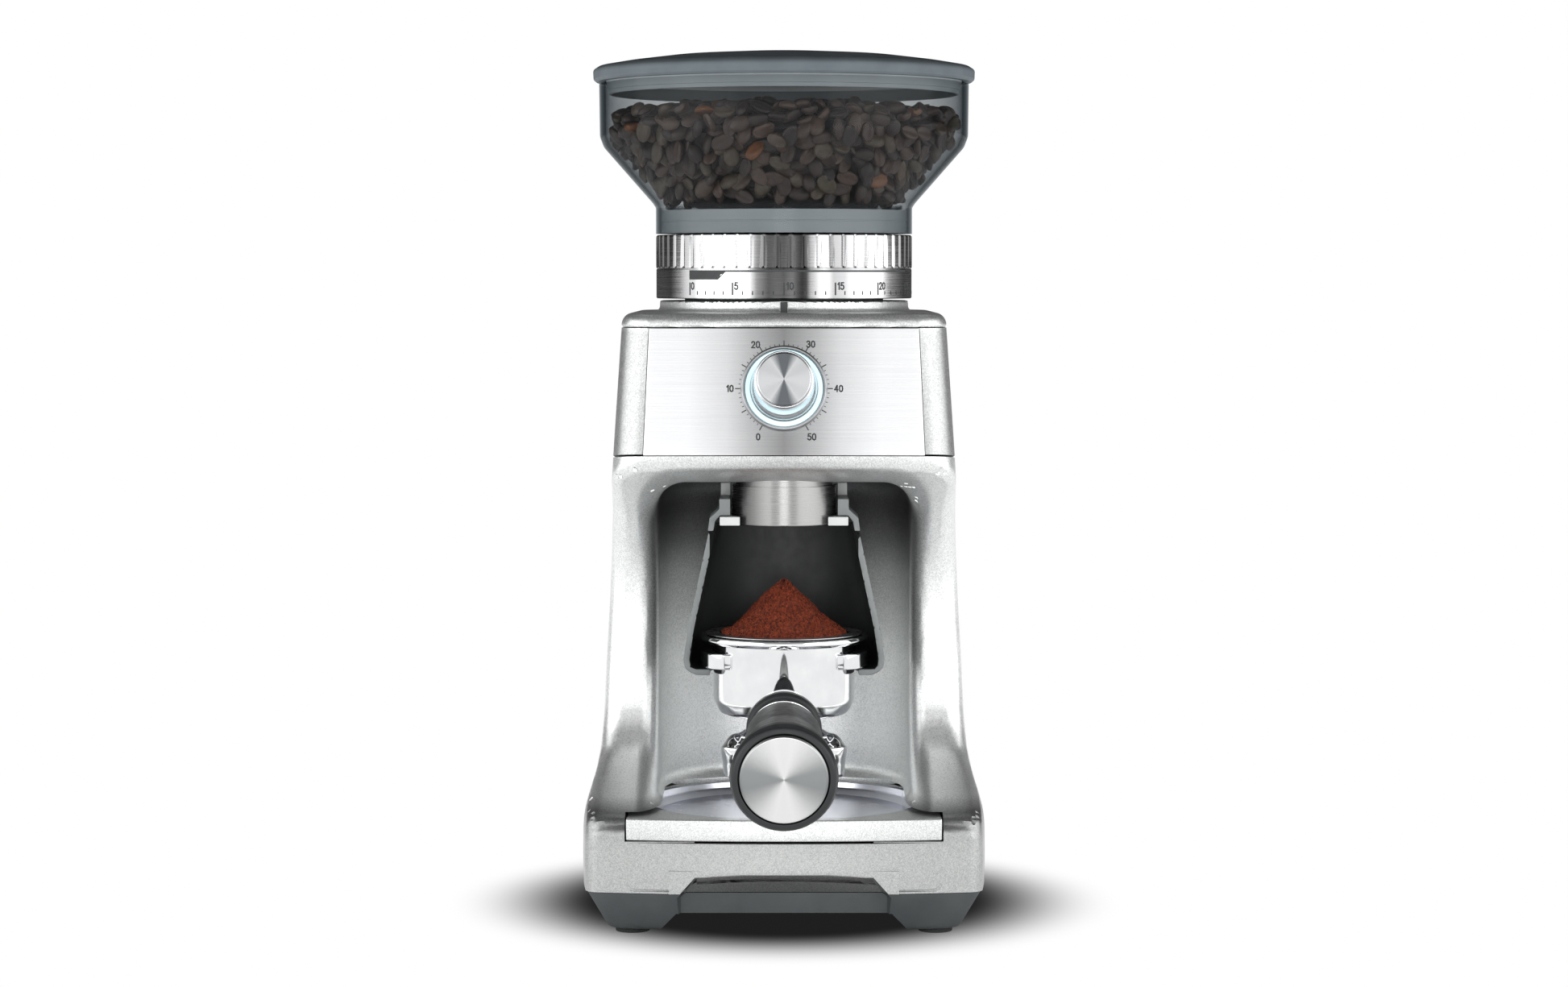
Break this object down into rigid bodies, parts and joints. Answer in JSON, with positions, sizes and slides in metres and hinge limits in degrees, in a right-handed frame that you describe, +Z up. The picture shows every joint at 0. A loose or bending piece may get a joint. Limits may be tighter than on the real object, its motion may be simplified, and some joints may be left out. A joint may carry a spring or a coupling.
{
  "type": "burr coffee grinder",
  "caption": "Domestic conical burr coffee grinder with a smoked bean hopper, numbered grind dial, timer knob, portafilter cradle and lift-out catch tray.",
  "frame": {"origin": "middle of the bounding box, on the surface the feet stand on", "axes": "+Z up, -Y to the front (dial pointer, timer knob and portafilter handle), +X to the user's right as they face the front"},
  "size_m": [0.178, 0.3604, 0.389],
  "materials": {
    "silver_paint": "metallic silver paint, satin, with a fine flake",
    "brushed_steel": "brushed stainless steel",
    "chrome": "bright chrome plate",
    "dark_plastic": "moulded, fine matt texture, dark slate",
    "black_plastic": "moulded, semi-gloss black",
    "lid_plastic": "matt slate grey",
    "smoked_plastic": "clear smoked polycarbonate",
    "rubber": "matt",
    "beans": "roasted coffee beans, a slight sheen",
    "grounds": "loose, matt, reddish brown",
    "light_grey": "moulded, matt",
    "lamp": "translucent ring, lit pale blue-white",
    "circuit": "green board",
    "steel": "turned or pressed steel",
    "bronze": "sintered, plain",
    "nylon": "natural nylon"
  },
  "bodies": {
    "housing": {"base_plate": "dark_plastic", "foot_pad_front_left": "rubber", "foot_pad_front_right": "rubber", "foot_pad_rear_left": "rubber", "foot_pad_rear_right": "rubber", "body_shell": "silver_paint", "base_front_cover": "silver_paint", "head_shell": "silver_paint", "front_panel": "brushed_steel", "top_cover": "silver_paint", "grind_pointer": "dark_plastic", "cord_gland": "black_plastic", "power_board": "circuit", "gear_case": "dark_plastic", "gear_cover": "dark_plastic", "motor_can": "steel", "idler_pin": "steel", "lower_bearing": "bronze", "upper_bearing": "bronze", "burr_chamber": "dark_plastic", "grounds_chute": "dark_plastic", "outlet_collar": "brushed_steel", "cradle_lug_left": "light_grey", "cradle_lug_right": "light_grey", "knob_bezel": "brushed_steel", "light_ring": "lamp", "rotary_encoder": "black_plastic", "control_board": "circuit"},
    "burr_drive": {"output_gear": "nylon", "drive_shaft": "steel", "sweeper": "nylon", "cone_burr": "steel", "burr_nut": "steel"},
    "idler": {"idler_gear": "nylon"},
    "motor_rotor": {"motor_shaft": "steel", "motor_pinion": "steel"},
    "burr_holder": {"burr_carrier": "dark_plastic", "ring_burr": "steel"},
    "grind_dial": {"grind_dial_sleeve": "brushed_steel", "grind_dial_core": "dark_plastic"},
    "hopper": {"hopper_bowl": "smoked_plastic", "bean_fill": "beans"},
    "gate": {"bean_gate": "dark_plastic"},
    "hopper_lid": {"lid": "lid_plastic", "lid_seal": "dark_plastic"},
    "timer_spindle": {"knob_spindle": "steel"},
    "timer_knob": {"time_knob": "brushed_steel", "knob_cap": "brushed_steel"},
    "tray": {"catch_tray": "silver_paint", "tray_dish": "steel"},
    "cradle": {"portafilter_cradle": "black_plastic"},
    "portafilter": {"pf_body": "chrome", "pf_basket": "steel", "pf_spout": "chrome", "pf_collar": "black_plastic", "pf_ferrule": "chrome", "pf_grip": "black_plastic", "pf_end_cap": "brushed_steel", "ground_coffee": "grounds"}
  },
  "joints": [
    {"name": "burr_spin", "type": "hinge", "parent": "housing", "child": "burr_drive", "pos_m": [0, 0.0362, 0.24], "axis": [0, 0, 1], "continuous": true},
    {"name": "idler_spin", "type": "hinge", "parent": "housing", "child": "idler", "pos_m": [0, 0.0842, 0.21], "axis": [0, 0, 1], "continuous": true},
    {"name": "motor_spin", "type": "hinge", "parent": "housing", "child": "motor_rotor", "pos_m": [0, 0.1162, 0.16], "axis": [0, 0, 1], "continuous": true},
    {"name": "dial_turn", "type": "hinge", "parent": "housing", "child": "grind_dial", "pos_m": [0, 0.0362, 0.29], "axis": [0, 0, 1], "range_deg": [-230, 46]},
    {"name": "burr_height", "type": "slide", "parent": "housing", "child": "burr_holder", "axis": [0, 0, 1], "range_m": [-0.0003, 0.0014]},
    {"name": "hopper_lift", "type": "slide", "parent": "housing", "child": "hopper", "axis": [0, 0, 1], "range_m": [0, 0.06]},
    {"name": "gate_turn", "type": "hinge", "parent": "hopper", "child": "gate", "pos_m": [0, 0.0362, 0.3], "axis": [0, 0, 1], "range_deg": [0, 90]},
    {"name": "lid_lift", "type": "slide", "parent": "hopper", "child": "hopper_lid", "axis": [0, 0, 1], "range_m": [0, 0.05]},
    {"name": "timer_push", "type": "slide", "parent": "housing", "child": "timer_spindle", "axis": [0, 0.9774, -0.2113], "range_m": [0, 0.0015], "stiffness_N_per_m": 800, "springref_m": -0.001},
    {"name": "timer_turn", "type": "hinge", "parent": "timer_spindle", "child": "timer_knob", "pos_m": [0, -0.04351, 0.238], "axis": [0, -0.9774, 0.2113], "range_deg": [-300, 0]},
    {"name": "tray_slide", "type": "slide", "parent": "housing", "child": "tray", "axis": [0, -1, 0], "range_m": [0, 0.13]},
    {"name": "cradle_slide", "type": "slide", "parent": "housing", "child": "cradle", "axis": [0, -1, 0], "range_m": [0, 0.06]},
    {"name": "portafilter_slide", "type": "slide", "parent": "cradle", "child": "portafilter", "axis": [0, -1, 0], "range_m": [0, 0.12]}
  ],
  "couplings": [
    {"joint": "idler_spin", "follows": "burr_spin", "ratio": -5},
    {"joint": "motor_spin", "follows": "burr_spin", "ratio": 15},
    {"joint": "burr_height", "follows": "dial_turn", "m_per_rad": -0.00032}
  ]
}
